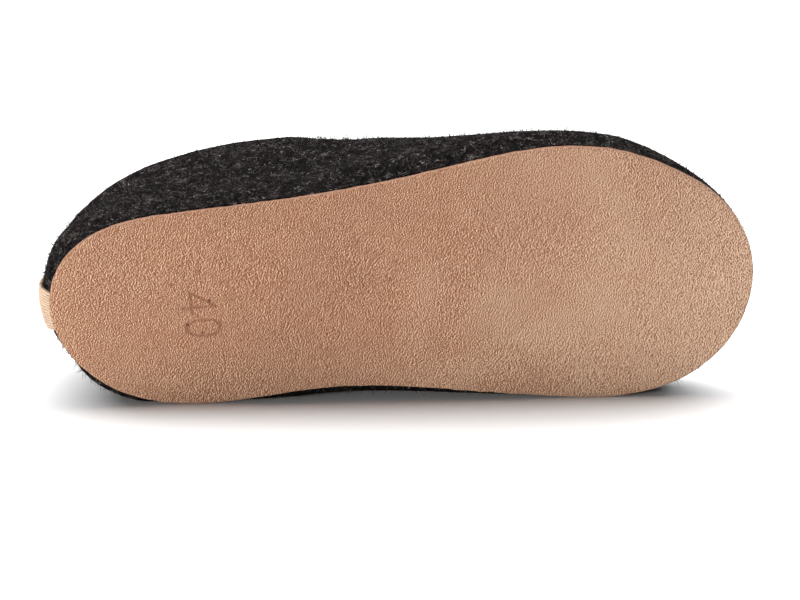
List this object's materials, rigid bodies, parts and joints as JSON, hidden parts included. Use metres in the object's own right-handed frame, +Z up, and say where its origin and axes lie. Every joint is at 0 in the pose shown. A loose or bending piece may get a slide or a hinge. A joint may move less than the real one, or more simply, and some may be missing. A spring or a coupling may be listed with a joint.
{
  "type": "felt slipper",
  "caption": "Right-foot felt slipper with suede leather sole, felt insole and woven heel tape, lying on its inner side.",
  "frame": {"origin": "on the floor under the middle of the slipper's bounding box, with the slipper lying on its inner side", "axes": "+X from heel to toe along the floor, -Y out of the sole's outer face, +Z up, towards the outer side of the foot"},
  "size_m": [0.2726, 0.0768, 0.1011],
  "materials": {
    "wool_felt": "thick charcoal melange wool felt, matt, with loose fibres",
    "suede_leather": "tan suede split leather with a short nap and pale cut edge",
    "insole_felt": "grey wool felt footbed, matt",
    "woven_tape": "cream woven cotton tape with lengthwise ribs"
  },
  "bodies": {
    "root": {"upper": "wool_felt", "outsole": "suede_leather", "insole": "insole_felt", "heel_tape": "woven_tape"}
  },
  "joints": []
}
